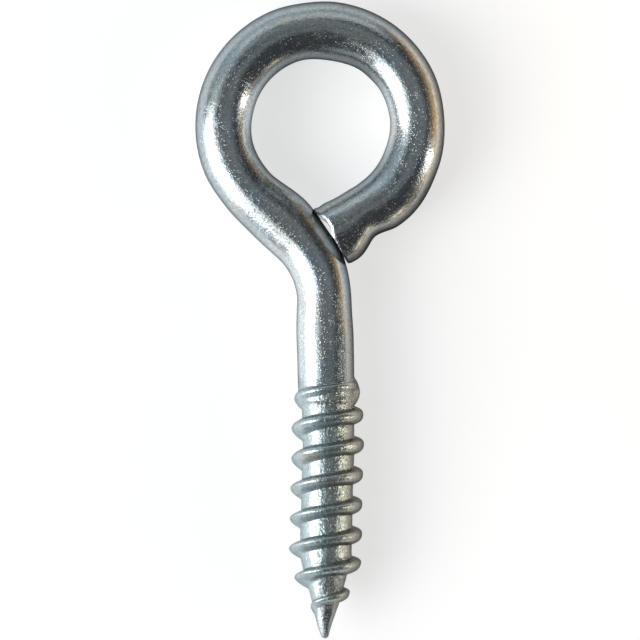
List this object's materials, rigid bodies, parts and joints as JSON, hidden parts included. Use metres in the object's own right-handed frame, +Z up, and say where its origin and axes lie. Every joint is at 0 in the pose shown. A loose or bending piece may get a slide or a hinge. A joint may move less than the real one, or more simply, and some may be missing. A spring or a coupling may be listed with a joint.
{
  "type": "screw eye",
  "caption": "Zinc-plated steel screw eye: one length of round wire with a bent eye at the top and a wood-screw thread with a gimlet point.",
  "frame": {"origin": "centre of the eye, on the middle plane of the wire", "axes": "+Y from the point of the screw toward the eye, +X to the side the cut end of the wire comes round on, +Z square to the plane of the eye; the part lies flat with +Z up"},
  "size_m": [0.0196, 0.05, 0.0056],
  "materials": {
    "zinc_plate": "bright zinc plate, slightly pitted, bluish with a faint yellow cast in places"
  },
  "bodies": {
    "root": {"screw_eye": "zinc_plate"}
  },
  "joints": []
}
